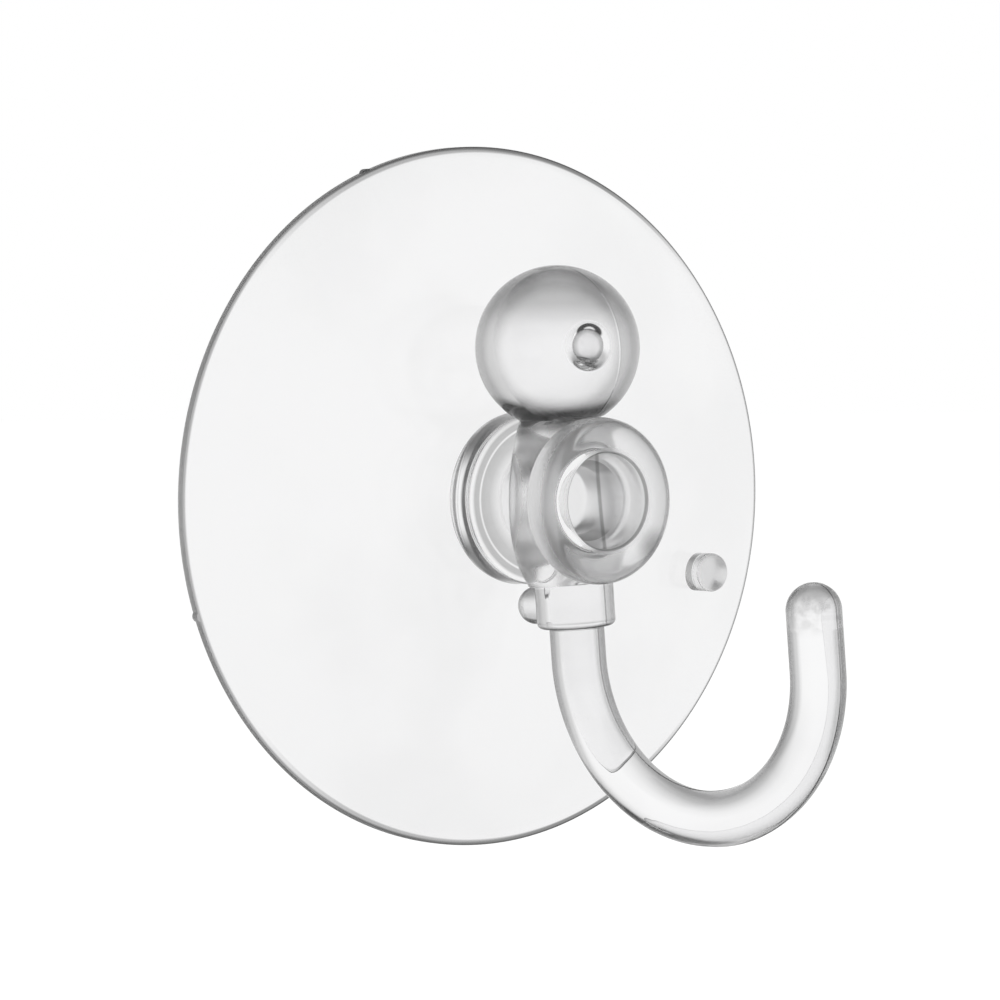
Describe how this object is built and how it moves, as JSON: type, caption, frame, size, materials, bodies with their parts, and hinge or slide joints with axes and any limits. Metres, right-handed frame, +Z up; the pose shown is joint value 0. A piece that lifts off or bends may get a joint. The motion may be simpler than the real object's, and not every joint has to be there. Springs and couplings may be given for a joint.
{
  "type": "suction cup hook",
  "caption": "Clear suction cup with a mushroom-headed neck that carries a clear ball-topped J hook, for hanging light things on glass or tile.",
  "frame": {"origin": "centre of the cup's rim, on the wall that it sticks to", "axes": "+Y into the wall along the cup's axis, -Y out from the wall, +Z up, +X to the right as seen from the room"},
  "size_m": [0.06, 0.0413, 0.06],
  "materials": {
    "clear_soft_vinyl": "clear soft vinyl, glossy, very faint grey tint",
    "clear_hard_plastic": "clear hard plastic, glossy, moulded in one piece"
  },
  "bodies": {
    "cup": {"suction_cup": "clear_soft_vinyl"},
    "hook": {"hook": "clear_hard_plastic"}
  },
  "joints": [
    {"name": "hook_swivel", "type": "hinge", "parent": "cup", "child": "hook", "pos_m": [0, 0, 0], "axis": [0, -1, 0], "continuous": true}
  ]
}
